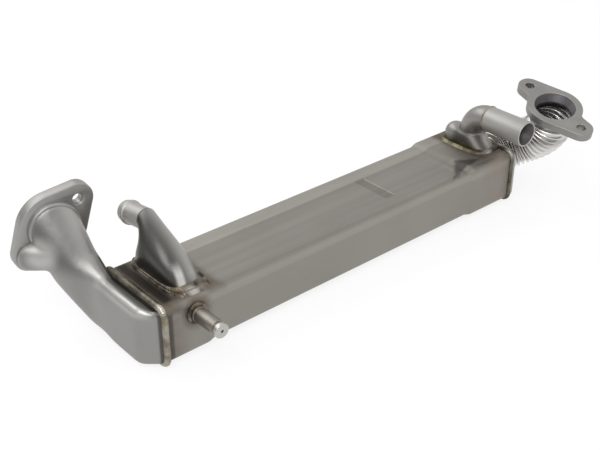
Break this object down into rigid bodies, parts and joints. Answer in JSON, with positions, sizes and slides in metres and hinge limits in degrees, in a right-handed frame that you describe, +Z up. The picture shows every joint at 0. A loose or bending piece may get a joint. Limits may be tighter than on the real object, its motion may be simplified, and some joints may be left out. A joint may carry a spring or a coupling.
{
  "type": "exhaust gas recirculation cooler",
  "caption": "Long box-shaped exhaust gas cooler with a cast gas inlet duct, a curved bellows gas outlet with bolted flanges, and coolant pipes for hoses.",
  "frame": {"origin": "on the rest plane under the middle of the whole part", "axes": "+X from gas inlet to gas outlet, +Y to the rear, +Z up"},
  "size_m": [0.5623, 0.1864, 0.1176],
  "materials": {
    "cast_duct": "satin cast stainless steel",
    "weld": "heat tinted weld bead",
    "bellows": "bright thin stainless steel",
    "flange": "machined stainless steel",
    "inner_steel": "plain stainless steel",
    "bright_pipe": "drawn stainless steel",
    "casing": "brushed stainless sheet",
    "pipe_steel": "formed stainless steel"
  },
  "bodies": {
    "root": {"inlet_duct": "cast_duct", "inlet_seam_weld": "weld", "inlet_tube_sheet": "inner_steel", "casing": "casing", "gas_tubes": "inner_steel", "baffles": "inner_steel", "outlet_tube_sheet": "inner_steel", "outlet_seam_weld": "weld", "outlet_cap": "pipe_steel", "outlet_stub": "pipe_steel", "stub_weld": "weld", "bellows": "bellows", "outlet_neck": "pipe_steel", "outlet_flange": "flange", "flange_weld": "weld", "coolant_outlet_pipe": "pipe_steel", "coolant_outlet_nipple": "bright_pipe", "coolant_outlet_weld": "weld", "bleed_boss": "bright_pipe", "bleed_stud": "bright_pipe", "bleed_weld": "weld", "coolant_inlet_elbow": "pipe_steel", "coolant_inlet_tube": "bright_pipe", "coolant_inlet_weld": "weld", "elbow_ring_weld": "weld"}
  },
  "joints": []
}
